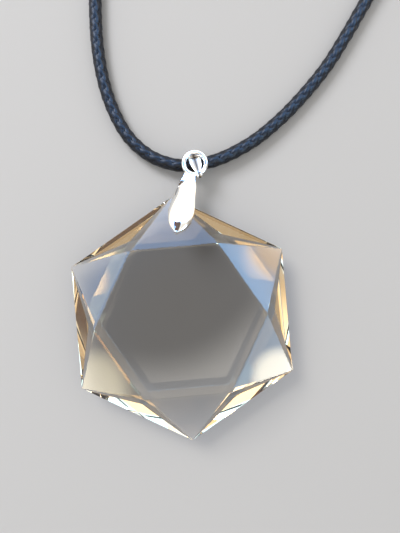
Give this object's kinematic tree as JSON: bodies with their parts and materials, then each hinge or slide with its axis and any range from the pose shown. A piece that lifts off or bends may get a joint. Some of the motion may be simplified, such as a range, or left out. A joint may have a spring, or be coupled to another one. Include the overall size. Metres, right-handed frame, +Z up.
{
  "type": "hexagonal crystal pendant necklace",
  "caption": "Flat hexagonal faceted clear crystal in a silver pinch clip and bail, on a loop of black braided cord closed by a plain barrel clasp, lying on its back.",
  "frame": {"origin": "middle of the crystal's back table, which lies on the surface", "axes": "+Z up out of the front table; +Y from the middle to the corner that holds the clip; +X to the right seen from the front"},
  "size_m": [0.1121, 0.227, 0.007],
  "materials": {
    "crystal": "polished facets",
    "silver": "polished silver plate",
    "cord": "waxed braid"
  },
  "bodies": {
    "root": {"crystal": "crystal", "pinch_clip": "silver", "bail": "silver", "cord": "cord", "clasp": "silver"}
  },
  "joints": []
}
